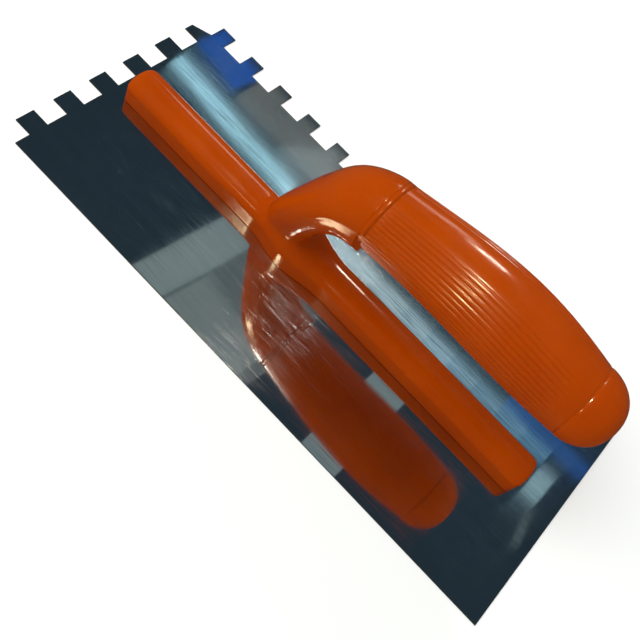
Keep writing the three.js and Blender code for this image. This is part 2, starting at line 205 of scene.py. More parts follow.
def mesh_points(mesh):
    """A mesh's points in millimetres."""
    points = np.empty(len(mesh.vertices) * 3)
    mesh.vertices.foreach_get("co", points)
    return points.reshape(-1, 3) / MM


def evaluated_mesh(obj):
    """A mesh of an object with its modifiers applied. The object goes."""
    depsgraph = bpy.context.evaluated_depsgraph_get()
    mesh = bpy.data.meshes.new_from_object(obj.evaluated_get(depsgraph))
    bpy.data.objects.remove(obj)
    return mesh


def move_points(bm, points):
    """Puts an edited mesh's points at these places in millimetres."""
    for vertex, co in zip(bm.verts, points):
        vertex.co = co * MM


def finish_piece(obj, slot, *nodes):
    """A finished piece rides on the one body and stands for its CAD nodes. The slot argument is not
    used.
    """
    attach(obj, "root")
    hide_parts(*nodes)


# ---------- Materials ----------

BRUSH_MAP = "across_the_brushing"  # the blade's UV map, with u across its grinding lines


class Nodes:
    """Short calls for building a material's node tree."""

    def __init__(self, name):
        self.material = bpy.data.materials.new(name)
        self.material.use_nodes = True
        self.tree = self.material.node_tree
        self.shader = self.tree.nodes["Principled BSDF"]
        self.coordinates = self.add("ShaderNodeTexCoord").outputs["Object"]

    def add(self, kind, **inputs):
        node = self.tree.nodes.new(kind)
        for key, value in inputs.items():
            node.inputs[key.replace("_", " ")].default_value = value
        return node

    def link(self, source, target):
        self.tree.links.new(source, target)

    def set(self, **inputs):
        for key, value in inputs.items():
            self.shader.inputs[key.replace("_", " ")].default_value = value

    def noise(self, scale, detail=3.0, stretch=(1, 1, 1), roughness=0.5):
        """Noise over the object, in cycles per metre, stretched along the axes."""
        mapping = self.add("ShaderNodeMapping")
        mapping.inputs["Scale"].default_value = stretch
        self.link(self.coordinates, mapping.inputs["Vector"])
        noise = self.add("ShaderNodeTexNoise", Scale=scale, Detail=detail, Roughness=roughness)
        self.link(mapping.outputs["Vector"], noise.inputs["Vector"])
        return noise.outputs["Fac"]

    def ramp(self, source, stops):
        """Colour or grey values along a source, as (place, value) pairs."""
        ramp = self.add("ShaderNodeValToRGB")
        elements = ramp.color_ramp.elements
        while len(elements) < len(stops):
            elements.new(0.5)
        for element, (place, value) in zip(elements, stops):
            element.position = place
            element.color = (*value, 1) if isinstance(value, tuple) else (value, value, value, 1)
        self.link(source, ramp.inputs["Fac"])
        return ramp.outputs["Color"]

    def mix(self, kind, factor, first, second):
        mix = self.add("ShaderNodeMix")
        mix.data_type = "RGBA"
        mix.blend_type = kind
        mix.inputs["Factor"].default_value = factor
        self.link(first, mix.inputs["A"])
        self.link(second, mix.inputs["B"])
        return mix.outputs["Result"]

    def bump(self, height, strength, distance, under=None):
        bump = self.add("ShaderNodeBump", Strength=strength, Distance=distance)
        self.link(height, bump.inputs["Height"])
        if under is not None:
            self.link(under, bump.inputs["Normal"])
        return bump.outputs["Normal"]


def steel_material():
    """Polished spring steel: a sharp mirror under fine grinding lines along X, and faint smears."""
    m = Nodes("blade_steel")
    m.set(Metallic=1.0, Anisotropic=1.0)
    across = m.add("ShaderNodeTangent")
    across.direction_type = "UV_MAP"
    across.uv_map = BRUSH_MAP
    m.link(across.outputs["Tangent"], m.shader.inputs["Tangent"])
    lines = m.noise(6000, 2, (0.008, 1, 1), 0.6)
    bands = m.noise(170, 3, (0.03, 1, 1), 0.6)
    smears = m.noise(26, 4, (0.5, 1, 1), 0.6)
    tone = m.ramp(smears, [(0.3, (0.60, 0.635, 0.65)), (0.7, (0.72, 0.745, 0.75))])
    streaks = m.ramp(bands, [(0.3, 0.93), (0.7, 1.0)])
    m.link(m.mix("MULTIPLY", 1.0, tone, streaks), m.shader.inputs["Base Color"])
    cuts = m.ramp(lines, [(0.52, 0.03), (0.82, 0.22)])
    dull = m.ramp(smears, [(0.4, 0.0), (0.8, 0.02)])
    m.link(m.mix("ADD", 1.0, cuts, dull), m.shader.inputs["Roughness"])
    waves = m.bump(m.noise(14, 1), 0.2, 0.0004)
    m.link(m.bump(bands, 0.05, 0.00002, waves), m.shader.inputs["Normal"])
    return m.material


def plastic_material(name, roughness):
    """Glossy orange moulding: light scatters a little below its skin, and its gloss is uneven."""
    m = Nodes(name)
    m.set(Subsurface_Weight=0.25, Subsurface_Radius=(1.0, 0.25, 0.05), Subsurface_Scale=0.004)
    m.set(IOR=1.46, Specular_IOR_Level=0.4, Specular_Tint=(1.0, 0.85, 0.6, 1))
    cloud = m.noise(30, 3)
    tone = m.ramp(cloud, [(0.3, (0.33, 0.038, 0.0002)), (0.7, (0.38, 0.049, 0.0004))])
    specks = m.ramp(m.noise(900, 2), [(0.25, 0.86), (0.4, 1.0)])
    m.link(m.mix("MULTIPLY", 0.6, tone, specks), m.shader.inputs["Base Color"])
    gloss = m.ramp(m.noise(90, 4), [(0.3, roughness), (0.75, roughness + 0.1)])
    m.link(gloss, m.shader.inputs["Roughness"])
    peel = m.bump(m.noise(260, 2), 0.10, 0.0004)
    m.link(m.bump(m.noise(1500, 2), 0.06, 0.0001, peel), m.shader.inputs["Normal"])
    return m.material


def screw_material():
    """Zinc-plated steel: bright, faintly yellow, with dull patches and turning marks."""
    m = Nodes("screw_steel")
    m.set(Metallic=1.0)
    patches = m.noise(700, 4)
    tone = m.ramp(patches, [(0.3, (0.55, 0.54, 0.50)), (0.7, (0.78, 0.78, 0.77))])
    m.link(tone, m.shader.inputs["Base Color"])
    m.link(m.ramp(patches, [(0.3, 0.38), (0.7, 0.2)]), m.shader.inputs["Roughness"])
    m.link(m.bump(m.noise(2500, 3), 0.15, 0.00005), m.shader.inputs["Normal"])
    return m.material


def floor_material():
    """Plain pale floor with the faintest unevenness."""
    m = Nodes("floor")
    tone = m.ramp(m.noise(4, 2), [(0.3, 0.86), (0.7, 0.88)])
    m.link(tone, m.shader.inputs["Base Color"])
    m.set(Roughness=0.9, Specular_IOR_Level=0.0)
    return m.material


STEEL = steel_material()
PLASTIC = plastic_material("orange_plastic", 0.08)
GRIP_PLASTIC = plastic_material("orange_grip", 0.12)
ZINC = screw_material()


# ---------- The handle's lines ----------

GRIP_AXIS = np.array([1, 0, GRIP_SLOPE]) / math.hypot(1, GRIP_SLOPE)
GRIP_NORMAL = np.array([-GRIP_AXIS[2], 0, GRIP_AXIS[0]])


def axis_point(x):
    """The grip's straight axis above a place on the blade."""
    return np.array([x, 0, SHOULDER[1] + GRIP_SLOPE * (x - SHOULDER[0])])


def fade(value, start, end):
    """0 before start, 1 after end, smooth between."""
    t = np.clip((value - start) / (end - start), 0, 1)
    return t * t * (3 - 2 * t)


def smooth_line(stations, steps):
    """A smooth curve through stations of numbers, sampled evenly along its length in x and z."""
    knots = np.asarray(stations, dtype=float)
    gaps = np.sqrt(np.hypot(*np.diff(knots[:, :2], axis=0).T))
    t = np.concatenate([[0], np.cumsum(gaps)])
    slopes = np.gradient(knots, t, axis=0)
    fine = np.linspace(0, t[-1], steps * 8)
    k = np.clip(np.searchsorted(t, fine, side="right") - 1, 0, len(t) - 2)
    h = (t[k + 1] - t[k])[:, None]
    u = ((fine - t[k])[:, None]) / h
    curve = (
        (2 * u**3 - 3 * u**2 + 1) * knots[k]
        + (u**3 - 2 * u**2 + u) * h * slopes[k]
        + (3 * u**2 - 2 * u**3) * knots[k + 1]
        + (u**3 - u**2) * h * slopes[k + 1]
    )
    along = np.concatenate([[0], np.cumsum(np.hypot(*np.diff(curve[:, :2], axis=0).T))])
    even = np.linspace(0, along[-1], steps)
    return np.stack([np.interp(even, along, column) for column in curve.T], axis=1)


def neck_line():
    """Stations of the neck and arch, run on past the shoulder along the grip's axis."""
    beyond = [
        (SHOULDER[0] + run, SHOULDER[1] + GRIP_SLOPE * run, SHOULDER[2], SHOULDER[3])
        for run in (8, 16)
    ]
    return smooth_line([*NECK_STATIONS, SHOULDER, *beyond], NECK_SAMPLES)


NECK_LINE = neck_line()


def ring(centre, normal, half_width, half_height, angles, depth=0.0):
    """Points of an oval about a centre. Angle 0 is the crown, and angles grow towards -Y."""
    across = (half_width - depth) * np.sin(angles)
    up = (half_height - depth) * np.cos(angles)
    points = centre + up[:, None] * normal
    points[:, 1] -= across
    return points


# ---------- Handle frame ----------

def smooth_join(a, b, blend):
    """Union of two fields with a fillet of about this size where they meet."""
    overlap = np.maximum(blend - np.abs(a - b), 0) / blend
    return np.minimum(a, b) - overlap**2 * blend / 4


def smooth_cut(a, b, blend):
    """What lies inside both fields, with its edge rounded by about this size."""
    overlap = np.maximum(blend - np.abs(a - b), 0) / blend
    return np.maximum(a, b) + overlap**2 * blend / 4


def neck_field(points):
    """Roughly the distance outside the neck and arch, less than 0 inside."""
    x, z = NECK_LINE[:, 0], NECK_LINE[:, 1]
    tangents = np.gradient(NECK_LINE[:, :2], axis=0)
    step = np.hypot(tangents[:, 0], tangents[:, 1])
    tangents /= step[:, None]
    near = np.empty(len(points))
    for part in np.array_split(np.arange(len(points)), max(1, len(points) // 4000)):
        gap = (points[part, 0:1] - x) ** 2 + (points[part, 2:3] - z) ** 2
        near[part] = gap.argmin(axis=1)
    i = near.astype(int)
    along = (points[:, 0] - x[i]) * tangents[i, 0] + (points[:, 2] - z[i]) * tangents[i, 1]
    place = np.clip(i + along / step[i], 0, len(x) - 1)
    samples = np.arange(len(x))
    at = [np.interp(place, samples, column) for column in (*NECK_LINE.T, *tangents.T)]
    cx, cz, wide, high, tx, tz = at
    up = (points[:, 2] - cz) * tx - (points[:, 0] - cx) * tz
    before_shoulder = fade(NECK_SAMPLES - OVAL_SAMPLES - place, 0, SQUARE_FADE)
    inside_loop = fade(-up / high, 0, 0.3)
    square = 2 + INSIDE_SQUARENESS * before_shoulder * inside_loop
    radius = (np.abs(points[:, 1] / wide) ** square + np.abs(up / high) ** square) ** (1 / square)
    return (radius - 1) * np.minimum(wide, high)


def rail_field(points):
    """Roughly the distance outside the rail: straight walls, a crowned top and rounded ends."""
    half = RAIL_WIDTH / 2
    rise = np.maximum(points[:, 2] - (RAIL_TOP - RAIL_CROWN), 0) / RAIL_CROWN
    section = (np.hypot(points[:, 1] / half, rise) - 1) * (half + RAIL_CROWN) / 2
    middle = (RAIL_START + RAIL_END) / 2
    ends = np.abs(points[:, 0] - middle) - (RAIL_END - RAIL_START) / 2
    return smooth_cut(section, ends, RAIL_END_BLEND)


def frame_field(points):
    """The neck growing out of the rail, with a fillet that widens from one side to the other."""
    share = fade(points[:, 0], NECK_X - 8, NECK_X + 8)
    fillet = OUTER_FILLET + (INNER_FILLET - OUTER_FILLET) * share
    return smooth_join(neck_field(points), rail_field(points), fillet)


def field_slope(points):
    """How the frame's field grows along each axis at each point."""
    step = 0.02
    value = frame_field(points)
    grown = [(frame_field(points + step * axis) - value) / step for axis in np.eye(3)]
    return np.stack(grown, axis=1)


def settle(points, rounds):
    """Moves points onto the frame's surface, where its field is 0."""
    for _ in range(rounds):
        value = frame_field(points)
        slope = field_slope(points)
        size = np.maximum((slope**2).sum(axis=1), 0.05)
        points = points - np.clip(value / size, -1.5, 1.5)[:, None] * slope
    return points


def rough_frame():
    """A coarse rail and neck, remeshed into one evenly divided skin."""
    angles = round_angles(48)
    rings = []
    for (x, z, wide, high), (dx, dz, _, _) in zip(NECK_LINE, np.gradient(NECK_LINE, axis=0)):
        normal = np.array([-dz, 0, dx]) / math.hypot(dx, dz)
        rings.append(ring(np.array([x, 0, z]), normal, wide, high, angles))
    points, faces = closed_loft(rings[::6])
    half = RAIL_WIDTH / 2
    below = BLADE_TOP - 3
    corners = [
        (x, y, z)
        for x in (RAIL_START, RAIL_END)
        for y in (-half, half)
        for z in (below, RAIL_TOP - RAIL_CROWN / 3)
    ]
    first = len(points)
    box_faces = [(0, 1, 3, 2), (4, 6, 7, 5), (0, 4, 5, 1), (2, 3, 7, 6), (0, 2, 6, 4), (1, 5, 7, 3)]
    points = np.vstack([points, corners])
    faces = faces + [tuple(first + i for i in face) for face in box_faces]
    obj = new_object("rough_frame", points, faces, PLASTIC)
    remesh = obj.modifiers.new("remesh", "REMESH")
    remesh.mode = "VOXEL"
    remesh.voxel_size = VOXEL * MM
    return obj


def cut_plane(bm, point, normal, above):
    """Cuts away what lies above a height on the normal's side of a plane, and gives the rim."""
    verts = [vertex for vertex in bm.verts if vertex.co.z > above * MM]
    inside = set(verts)
    edges = [edge for edge in bm.edges if inside.issuperset(edge.verts)]
    faces = [face for face in bm.faces if inside.issuperset(face.verts)]
    geometry = verts + edges + faces
    plane = {"plane_co": Vector(point), "plane_no": Vector(normal)}
    made = bmesh.ops.bisect_plane(bm, geom=geometry, clear_outer=True, dist=1e-7, **plane)
    return [item for item in made["geom_cut"] if isinstance(item, bmesh.types.BMEdge)]


def extend_rim(bm, edges, move):
    """Extrudes an open rim and moves its new points by a function of where they are."""
    made = bmesh.ops.extrude_edge_only(bm, edges=edges)["geom"]
    for vertex in (item for item in made if isinstance(item, bmesh.types.BMVert)):
        vertex.co = Vector(move(np.array(vertex.co)))
    return [item for item in made if isinstance(item, bmesh.types.BMEdge)]


def joint_depth(angles):
    """The joints are faint on top of the grip and open a little on its underside."""
    from_crown = np.degrees(np.abs((np.asarray(angles) + math.pi) % (2 * math.pi) - math.pi))
    return JOINT_DEPTH * (JOINT_TOP_SHARE + (1 - JOINT_TOP_SHARE) * fade(from_crown, 75, 115))


def close_shoulder(bm, rim):
    """Rounds the shoulder's edge, steps down into the joint and runs on under the sleeve."""
    centre = axis_point(SHOULDER[0])
    rounding = [(math.sin(a), 1 - math.cos(a)) for a in np.linspace(0, math.pi / 2, 5)[1:]]
    profile = [(along * EDGE_ROUND, down * EDGE_ROUND, 0) for along, down in rounding]
    profile += [(EDGE_ROUND, 0, 1), (EDGE_ROUND + JOINT_GAP + JOINT_OVERLAP, 0, 1)]
    at = (0.0, 0.0, 0.0)
    for along, down, deep in profile:
        run, sink, fall = along - at[0], down - at[1], deep - at[2]

        def move(co):
            place = co / MM - centre
            outward = place - (place @ GRIP_AXIS) * GRIP_AXIS
            outward = outward / np.linalg.norm(outward)
            angle = math.atan2(-outward[1], outward @ GRIP_NORMAL)
            depth = sink + fall * (joint_depth(angle) - at[1])
            return co + (run * GRIP_AXIS - depth * outward) * MM

        rim = extend_rim(bm, rim, move)
        at = (along, down or at[1], deep)
    bmesh.ops.holes_fill(bm, edges=rim, sides=0)


def close_foot(bm, rim):
    """Turns the rail's foot in with a small radius and closes it where it meets the blade."""
    at = (0.0, 0.0)
    for turn in np.linspace(0, math.pi / 2, 4)[1:]:
        down = FOOT_ROUND * math.sin(turn) - at[0]
        inward = FOOT_ROUND * (1 - math.cos(turn)) - at[1]

        def move(co):
            slope = field_slope((co / MM)[None, :])[0] * (1, 1, 0)
            return co - (inward * slope / np.linalg.norm(slope) + (0, 0, down)) * MM

        rim = extend_rim(bm, rim, move)
        at = (at[0] + down, at[1] + inward)
    bmesh.ops.holes_fill(bm, edges=rim, sides=0)


def smooth_normals(mesh):
    """Shading from the field itself where a point lies on its surface, clear of the cut edges."""
    points = mesh_points(mesh)
    slope = field_slope(points)
    slope /= np.linalg.norm(slope, axis=1)[:, None]
    past_shoulder = (points - axis_point(SHOULDER[0])) @ GRIP_AXIS > -EDGE_ROUND - 0.05
    on_neck = points[:, 2] > 2 * RAIL_TOP
    by_foot = points[:, 2] < BLADE_TOP + FOOT_ROUND + 0.05
    free = (np.abs(frame_field(points)) < 0.05) & ~(past_shoulder & on_neck) & ~by_foot
    slope[~free] = 0
    mesh.normals_split_custom_set_from_vertices(slope.tolist())


def settle_and_even_out(bm, points):
    """Brings a mesh's points onto the frame's surface, evenly spaced."""
    axes = {"use_axis_x": True, "use_axis_y": True, "use_axis_z": True}
    for _ in range(3):
        points = settle(points, 3)
        move_points(bm, points)
        bmesh.ops.smooth_vert(bm, verts=bm.verts, factor=0.5, **axes)
        points = np.array([vertex.co for vertex in bm.verts]) / MM
    move_points(bm, settle(points, 5))


def make_frame():
    mesh = evaluated_mesh(rough_frame())
    bm = bmesh.new()
    bm.from_mesh(mesh)
    settle_and_even_out(bm, mesh_points(mesh))
    close_foot(bm, cut_plane(bm, (0, 0, (BLADE_TOP + FOOT_ROUND) * MM), (0, 0, -1), -100))
    shoulder = axis_point(SHOULDER[0]) - EDGE_ROUND * GRIP_AXIS
    rim = cut_plane(bm, shoulder * MM, GRIP_AXIS, 2 * RAIL_TOP)
    close_shoulder(bm, rim)
    bmesh.ops.recalc_face_normals(bm, faces=bm.faces)
    bm.to_mesh(mesh)
    bm.free()
    mesh.name = "handle_frame_body"
    mesh.materials.clear()
    mesh.materials.append(PLASTIC)
    for polygon in mesh.polygons:
        polygon.use_smooth = True
    obj = bpy.data.objects.new("handle_frame_body", mesh)
    bpy.context.collection.objects.link(obj)
    shade_by_angle(obj, 35)
    smooth_normals(mesh)
    finish_piece(obj, "orange_plastic", "handle_frame")


# ---------- Grip sleeve and cap ----------

def barrel(share, start, fullest, end):
    """A half size of the sleeve at a share of its length."""
    swell = math.sin(math.pi * share ** (math.log(0.5) / math.log(SLEEVE_FULLEST)))
    ends = start + (end - start) * share
    middle = start + (end - start) * SLEEVE_FULLEST
    return ends + (fullest - middle) * swell


def rib_depth(angles, share):
    """How deep each point of the sleeve lies in the narrow grooves between the ribs."""
    pitches = 2 * round(math.pi * sum(SLEEVE_HALF) / RIB_PITCH / 2)
    phase = (angles / (2 * math.pi) * pitches) % 1
    groove = np.exp(-(((phase - 0.5) / 0.17) ** 2))
    from_crown = np.degrees(np.minimum(angles, 2 * math.pi - angles))
    place = fade(from_crown, RIB_TOP_ANGLE - 3, RIB_TOP_ANGLE + 3)
    run = fade(share, 0.015, 0.05) * (1 - fade(share, 0.86, 0.97))
    return RIB_DEPTH * groove * place * run


def rounded_end(place, length=math.inf):
    """How far a rounded edge is pulled in at a place along a piece, near either of its ends."""
    near = min(place, length - place)
    if near >= EDGE_ROUND:
        return 0.0
    return EDGE_ROUND - math.sqrt(EDGE_ROUND**2 - (EDGE_ROUND - near) ** 2)


def make_sleeve():
    edge = [EDGE_ROUND * (1 - math.cos(a)) for a in np.linspace(0, math.pi / 2, 6)]
    middle = list(np.linspace(EDGE_ROUND, SLEEVE_LENGTH - EDGE_ROUND, SLEEVE_RINGS))[1:-1]
    places = edge + middle + [SLEEVE_LENGTH - e for e in reversed(edge)]
    angles = round_angles(SLEEVE_SEGMENTS)
    rings = []
    for place in places:
        share = place / SLEEVE_LENGTH
        wide = barrel(share, SHOULDER[2], SLEEVE_HALF[0], CAP_HALF[0])
        high = barrel(share, SHOULDER[3], SLEEVE_HALF[1], CAP_HALF[1])
        bow = np.array([0, 0, GRIP_BOW * math.sin(math.pi * share)])
        centre = axis_point(SLEEVE_START + place) + bow
        depth = rib_depth(angles, share) + rounded_end(place, SLEEVE_LENGTH)
        rings.append(ring(centre, GRIP_NORMAL, wide, high, angles, depth))
    depth = joint_depth(angles) + 0.2
    end = axis_point(SLEEVE_START + SLEEVE_LENGTH)
    first = ring(axis_point(SLEEVE_START), GRIP_NORMAL, *SHOULDER[2:], angles, depth)
    last = ring(end, GRIP_NORMAL, *CAP_HALF, angles, depth)
    points, faces = closed_loft([first, *rings, last])
    obj = new_object("grip_sleeve_ribbed", points, faces, GRIP_PLASTIC)
    shade_by_angle(obj, 60)
    finish_piece(obj, "orange_grip", "grip_sleeve")


def make_cap():
    angles = round_angles(CAP_SEGMENTS)
    depth = joint_depth(angles)
    collar = (CAP_START - JOINT_GAP - JOINT_OVERLAP, CAP_START)
    rings = [ring(axis_point(x), GRIP_NORMAL, *CAP_HALF, angles, depth) for x in collar]
    for turn in np.linspace(0, math.pi / 2, CAP_RINGS)[:-1]:
        along = CAP_LENGTH * math.sin(turn)
        size = math.cos(turn) ** CAP_FULLNESS
        halves = (CAP_HALF[0] * size, CAP_HALF[1] * size)
        centre = axis_point(CAP_START + along)
        rings.append(ring(centre, GRIP_NORMAL, *halves, angles, rounded_end(along)))
    points, faces = closed_loft(rings)
    points[-1] = axis_point(CAP_START + CAP_LENGTH)
    obj = new_object("end_cap_domed", points, faces, PLASTIC)
    shade_by_angle(obj, 60)
    finish_piece(obj, "orange_plastic", "end_cap")


# ---------- Blade ----------

def notch_spans(first, width, length):
    """Where notches lie along an edge: the first is cut short by the corner it starts in."""
    spans = [(0, first)]
    end = first + NOTCH_PITCH
    while end < length:
        spans.append((end - width, end))
        end += NOTCH_PITCH
    return spans


def blade_outline():
    """The sheet's outline, anticlockwise from the plain long side's notched corner."""
    x0, y0 = BLADE_LOW[:2]
    x1, y1 = BLADE_HIGH[:2]
    points = [(x1, y0), (x1, y1)]
    bottom = y1 - SIDE_NOTCH_DEPTH
    for start, end in reversed(notch_spans(SIDE_FIRST_NOTCH, SIDE_NOTCH_WIDTH, x1 - x0)):
        points += [(x0 + end, y1), (x0 + end, bottom)]
        if start > 0:
            points += [(x0 + start, bottom), (x0 + start, y1)]
    points.append((x0, bottom - CORNER_TAPER))
    inside = x0 + END_NOTCH_DEPTH
    for start, end in reversed(notch_spans(END_FIRST_NOTCH, END_NOTCH_WIDTH, y1 - y0)):
        points += [(x0, y0 + end), (inside, y0 + end)]
        if start > 0:
            points += [(inside, y0 + start), (x0, y0 + start)]
    points.append((inside, y0))
    return points


def closed_spline(curve, points):
    spline = curve.splines.new("POLY")
    spline.points.add(len(points) - 1)
    for point, (x, y) in zip(spline.points, points):
        point.co = (x * MM, y * MM, 0, 1)
    spline.use_cyclic_u = True


def level_ring(radius, z, angles):
    """Points of a level circle about the Z axis."""
    level = np.full(len(angles), z)
    return np.stack([radius * np.cos(angles), radius * np.sin(angles), level], axis=1)


def lathe(profile, x):
    """Points and faces of a closed (radius, z) profile turned about a vertical axis at x."""
    angles = round_angles(DIMPLE_SEGMENTS)
    points = np.vstack([level_ring(radius, z, angles) for radius, z in profile])
    points[:, 0] += x
    count = DIMPLE_SEGMENTS
    faces = ring_faces(len(profile), count)
    last = (len(profile) - 1) * count
    faces += [(last + i, last + (i + 1) % count, (i + 1) % count, i) for i in range(count)]
    return points, faces


def screw_places():
    return [float((mm_box(name)[0][0] + mm_box(name)[1][0]) / 2) for name in SCREWS]


def dimple_profile():
    """The sheet pressed up round a screw, with its bends rounded."""
    rise = SCREW_HEAD_RADIUS - SCREW_RADIUS
    wall = BLADE_TOP * math.sqrt(2)
    inner = SCREW_HEAD_RADIUS + DIMPLE_CLEARANCE
    return [
        (inner + 0.12, 0.0),
        (inner - 0.04, 0.07),
        (inner - rise, rise),
        (inner + wall - rise - 0.1, rise),
        (inner + wall - rise + 0.1, rise - 0.1),
        (inner + wall - BLADE_TOP - 0.1, BLADE_TOP + 0.1),
        (inner + wall + 0.3, BLADE_TOP - 0.02),
        (inner + wall + 0.3, 0.0),
    ]


def flat_sheet():
    """The sheet with bevelled edges and a round hole for each dimple, as a mesh."""
    curve = bpy.data.curves.new("blade_outline", "CURVE")
    curve.dimensions = "2D"
    curve.fill_mode = "BOTH"
    curve.extrude = (BLADE_TOP / 2 - BLADE_EDGE) * MM
    curve.bevel_depth = BLADE_EDGE * MM
    curve.bevel_resolution = 1
    curve.offset = -BLADE_EDGE * MM
    closed_spline(curve, blade_outline())
    hole = SCREW_HEAD_RADIUS + DIMPLE_CLEARANCE + BLADE_TOP * math.sqrt(2)
    angles = round_angles(DIMPLE_SEGMENTS)
    for x in screw_places():
        closed_spline(curve, [(x + hole * math.cos(a), hole * math.sin(a)) for a in angles])
    sheet = bpy.data.objects.new("blade_outline", curve)
    bpy.context.collection.objects.link(sheet)
    return evaluated_mesh(sheet)


def make_blade():
    mesh = flat_sheet()
    bm = bmesh.new()
    bm.from_mesh(mesh)
    bmesh.ops.translate(bm, verts=bm.verts, vec=(0, 0, BLADE_TOP / 2 * MM))
    bmesh.ops.remove_doubles(bm, verts=bm.verts, dist=1e-7)
    for x in screw_places():
        points, faces = lathe(dimple_profile(), x)
        made = [bm.verts.new(Vector(p * MM)) for p in points]
        for face in faces:
            bm.faces.new([made[i] for i in face])
    bmesh.ops.recalc_face_normals(bm, faces=bm.faces)
    brushing = bm.loops.layers.uv.new(BRUSH_MAP)
    for loop in (loop for face in bm.faces for loop in face.loops):
        loop[brushing].uv = (loop.vert.co.y, -loop.vert.co.x)
    bm.to_mesh(mesh)
    bm.free()
    mesh.name = "blade_sheet"
    mesh.materials.clear()
    mesh.materials.append(STEEL)
    obj = bpy.data.objects.new("blade_sheet", mesh)
    bpy.context.collection.objects.link(obj)
    for polygon in mesh.polygons:
        polygon.use_smooth = True
    shade_by_angle(obj, 10)
    finish_piece(obj, "blade_steel", "blade")


# ---------- Screws ----------

def screw_mesh():
    """A countersunk screw, head down, with a helical thread on its core."""
    angles = round_angles(SCREW_SEGMENTS)
    head = SCREW_HEAD_RADIUS
    rise = head - SCREW_RADIUS
    head_profile = [
        (head - 0.08, 0.0),
        (head, 0.08),
        (head - 0.05, 0.22),
        (SCREW_RADIUS, rise),
        (SCREW_RADIUS, rise + 0.4),
    ]
    rings = [level_ring(radius, z, angles) for radius, z in head_profile]
    for z in np.arange(rise + 0.6, SCREW_LENGTH, THREAD_PITCH / THREAD_STEPS):
        phase = ((z / THREAD_PITCH) - angles / (2 * math.pi)) % 1
        crest = np.clip(1 - np.abs(phase - 0.5) / 0.28, 0, 1)
        taper = np.clip((SCREW_LENGTH - z) / SCREW_TIP, 0.04, 1)
        radius = (SCREW_CORE_RADIUS + (SCREW_RADIUS - SCREW_CORE_RADIUS) * crest) * taper
        rings.append(level_ring(radius, z, angles))
    rings.append(level_ring(0.05, SCREW_LENGTH, angles))
    return closed_loft(rings)


def cross_recess():
    """A tapered cross, wide at the head's face, as a cutter."""
    outline = [(2.2, 0.42), (0.62, 0.62), (0.42, 2.2)]
    arms = []
    for quarter in range(4):
        turn = quarter * math.pi / 2 + RECESS_TURN
        c, s = math.cos(turn), math.sin(turn)
        arms += [(c * x - s * y, s * x + c * y) for x, y in outline]
    rings = []
    for z, size in ((-0.5, 1.1), (0.0, 1.0), (RECESS_DEPTH, 0.45)):
        rings.append([(x * size, y * size, z) for x, y in arms])
    return closed_loft(rings)


def cut_screw():
    """The screw's mesh with its recess cut."""
    body = new_object("screw_body", *screw_mesh(), ZINC)
    cutter = new_object("screw_recess", *cross_recess(), ZINC)
    cut = body.modifiers.new("recess", "BOOLEAN")
    cut.operation = "DIFFERENCE"
    cut.object = cutter
    cut.solver = "EXACT"
    mesh = evaluated_mesh(body)
    bpy.data.objects.remove(cutter)
    return mesh


def make_screws():
    mesh = cut_screw()
    for number, (name, x) in enumerate(zip(SCREWS, screw_places())):
        own = mesh.copy()
        turn = Matrix.Rotation(math.radians(SCREW_TURN * number), 4, "Z")
        own.transform(Matrix.Translation((x * MM, 0, SCREW_SINK * MM)) @ turn)
        obj = bpy.data.objects.new(f"{name}_threaded", own)
        bpy.context.collection.objects.link(obj)
        shade_by_angle(obj, 35)
        finish_piece(obj, "screw_steel", name)


# ---------- Stage: floor, light and camera ----------

CAMERA_AT = Vector((0.0377, -0.2217, 0.3259))
CAMERA_AIM = Vector((0.0088, -0.0150, 0.0))
CAMERA_ROLL = 39.2
CAMERA_LENS = 50.2
FLOOR_HALF = 6000
FLOOR_DROP = 0.05  # of the floor below the blade


def toward(at, target):
    """The turn of a light or camera at a place that faces a target."""
    return (Vector(target) - Vector(at)).to_track_quat("-Z", "Y").to_matrix().to_4x4()


def make_camera():
    data = bpy.data.cameras.new("camera")
    data.lens = CAMERA_LENS
    data.sensor_width = 36
    data.clip_start = 0.01
    camera = bpy.data.objects.new("camera", data)
    bpy.context.collection.objects.link(camera)
    roll = Matrix.Rotation(math.radians(CAMERA_ROLL), 4, "Z")
    camera.matrix_world = Matrix.Translation(CAMERA_AT) @ toward(CAMERA_AT, CAMERA_AIM) @ roll
    bpy.context.scene.camera = camera


def make_floor():
    """A wide pale floor. The object's gloss doesn't mirror it."""
    corners = np.array([(-1, -1, 0), (1, -1, 0), (1, 1, 0), (-1, 1, 0)]) * FLOOR_HALF
    floor = new_object("floor", corners - [0, 0, FLOOR_DROP], [(0, 1, 2, 3)], floor_material())
    floor.visible_glossy = False


def soft_panel(name, at, facing, size, radiance, colour):
    """A rectangular soft light that the camera doesn't see directly."""
    data = bpy.data.lights.new(name, "AREA")
    data.shape = "RECTANGLE"
    data.size, data.size_y = size
    data.energy = radiance * math.pi * size[0] * size[1]
    data.color = colour
    panel = bpy.data.objects.new(name, data)
    bpy.context.collection.objects.link(panel)
    panel.matrix_world = Matrix.Translation(at) @ facing
    panel.visible_camera = False
    return panel


PANEL_HEIGHT = 1.2
LEVEL = toward((0, 0, 1), (0, -0.0001, 0))


def mirrored_panel(name, x, y, radiance, colour, turn=0.0):
    """A level panel overhead that the camera sees in this stretch of the blade, in millimetres."""
    grow = 1 + PANEL_HEIGHT / CAMERA_AT.z
    low = Vector((x[0], y[0])) * MM * grow - CAMERA_AT.xy * (grow - 1)
    high = Vector((x[1], y[1])) * MM * grow - CAMERA_AT.xy * (grow - 1)
    at = (*((low + high) / 2), PANEL_HEIGHT)
    facing = Matrix.Rotation(math.radians(turn), 4, "Z") @ LEVEL
    soft_panel(name, at, facing, tuple(high - low), radiance, colour).visible_diffuse = False


